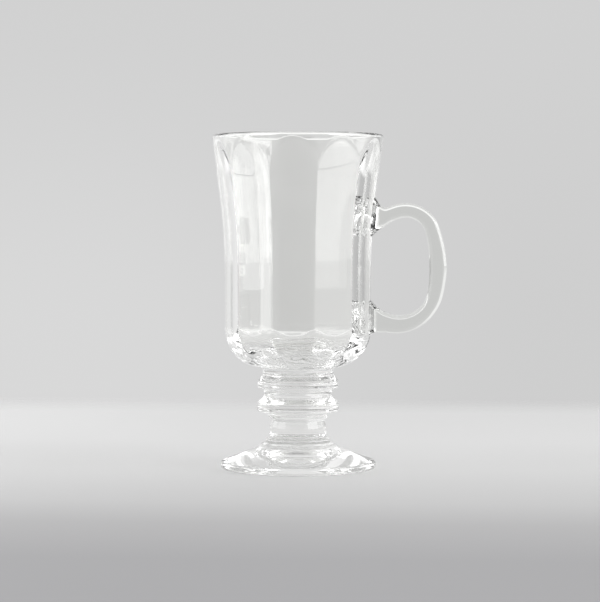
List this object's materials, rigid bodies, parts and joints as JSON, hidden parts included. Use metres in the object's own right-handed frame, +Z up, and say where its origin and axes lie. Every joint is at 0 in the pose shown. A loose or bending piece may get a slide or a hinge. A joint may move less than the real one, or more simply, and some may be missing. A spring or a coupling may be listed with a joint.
{
  "type": "irish coffee glass mug",
  "caption": "Clear footed glass mug with a flared bowl, flat panels inside, a ringed stem, a round foot and a loop handle.",
  "frame": {"origin": "middle of the flat ring that the foot stands on, on the bowl's axis", "axes": "+Z up along the bowl's axis, +X towards the handle, +Y to the side that is the left one when the handle points away"},
  "size_m": [0.1043, 0.0762, 0.1487],
  "materials": {
    "glass": "clear, fire polished"
  },
  "bodies": {
    "root": {"bowl": "glass", "upper_ring": "glass", "lower_ring": "glass", "neck": "glass", "foot": "glass", "handle": "glass"}
  },
  "joints": []
}
